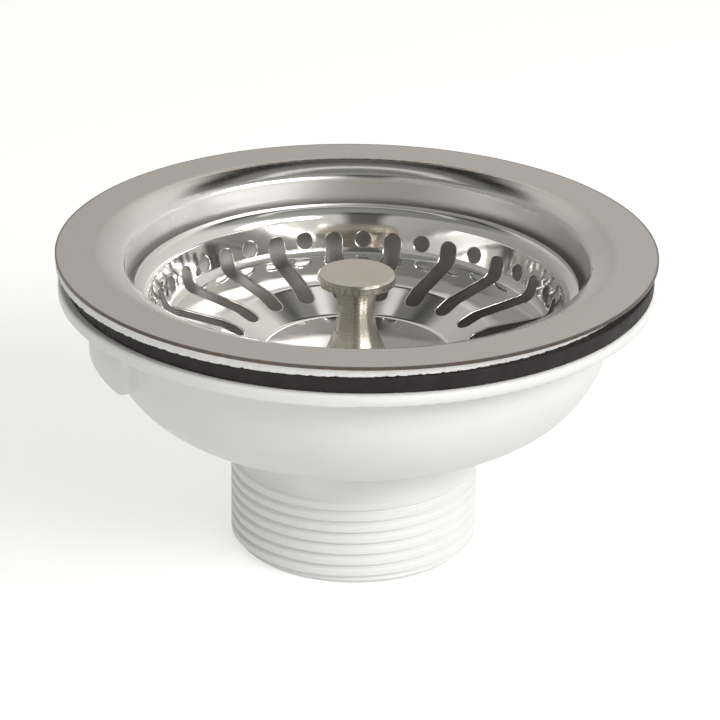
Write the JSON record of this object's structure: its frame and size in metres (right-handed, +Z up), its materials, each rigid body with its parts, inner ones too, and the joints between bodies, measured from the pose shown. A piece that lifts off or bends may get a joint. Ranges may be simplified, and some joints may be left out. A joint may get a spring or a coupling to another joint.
{
  "type": "basket strainer waste",
  "caption": "Kitchen sink waste: steel flange with cup, lift-out slotted strainer basket with knob, and white moulded body with overflow box and threaded outlet.",
  "frame": {"origin": "centre of the outlet's end face, on the waste's axis", "axes": "+Z up along the waste's axis from the outlet to the flange; -X towards the overflow box"},
  "size_m": [0.114, 0.114, 0.0599],
  "materials": {
    "white_plastic": "moulded, semi-gloss",
    "brass": "turned",
    "satin_steel": "satin ring, smooth wall",
    "plain_steel": "plain",
    "polished_steel": "polished stainless steel",
    "nickel_plate": "turned, nickel plated",
    "foam": "cut foam",
    "black_rubber": "matt"
  },
  "bodies": {
    "waste": {"waste_body": "white_plastic", "insert_nut": "brass", "sink_flange": "satin_steel", "foam_washer": "foam", "rubber_seal": "black_rubber", "bolt_washer": "plain_steel", "clamp_bolt": "brass"},
    "grip": {"stem_ring": "black_rubber"},
    "basket": {"strainer_basket": "polished_steel", "knob": "nickel_plate", "stem": "nickel_plate", "basket_seal": "black_rubber", "seal_washer": "plain_steel"}
  },
  "joints": [
    {"name": "basket_lift", "type": "slide", "parent": "waste", "child": "grip", "axis": [0, 0, 1], "range_m": [0, 0.045]},
    {"name": "basket_turn", "type": "hinge", "parent": "grip", "child": "basket", "pos_m": [0, 0, 0.02507], "axis": [0, 0, 1], "continuous": true}
  ]
}
